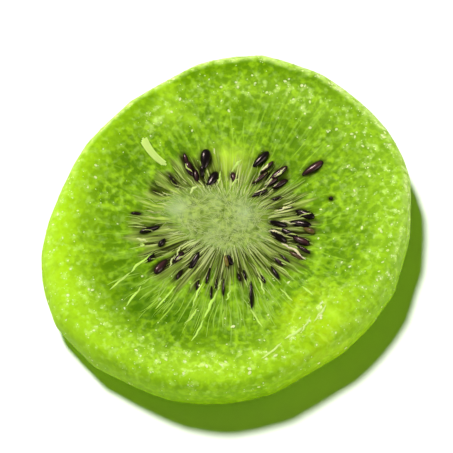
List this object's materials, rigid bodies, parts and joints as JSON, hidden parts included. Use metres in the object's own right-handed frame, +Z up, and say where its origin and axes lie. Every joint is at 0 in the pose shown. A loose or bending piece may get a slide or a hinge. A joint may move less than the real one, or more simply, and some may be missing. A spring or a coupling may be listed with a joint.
{
  "type": "candied kiwi slice",
  "caption": "Round slice of candied kiwi fruit with a thick rounded rim, a sunken ring of dark seeds and an oval pale core, lying flat.",
  "frame": {"origin": "middle of the slice's plan, on the surface that it lies on", "axes": "+Z up out of the upper cut face; +X to the right and +Y away as the upper face is seen with the folded stretch of the rim at the lower right"},
  "size_m": [0.04, 0.0406, 0.0069],
  "materials": {
    "candied_flesh": "translucent lime green candied fruit flesh, moist sheen under a fine dusting of sugar crystals, brighter and thinner at the rim",
    "kiwi_core": "pale grey-green, felted with fine whitish fibres",
    "kiwi_seed": "smooth glossy black to purple-brown seed coat, a few unripe ones ochre",
    "sugar": "fine clear to white sugar crystals"
  },
  "bodies": {
    "root": {"kiwi_slice": "candied_flesh"}
  },
  "joints": []
}
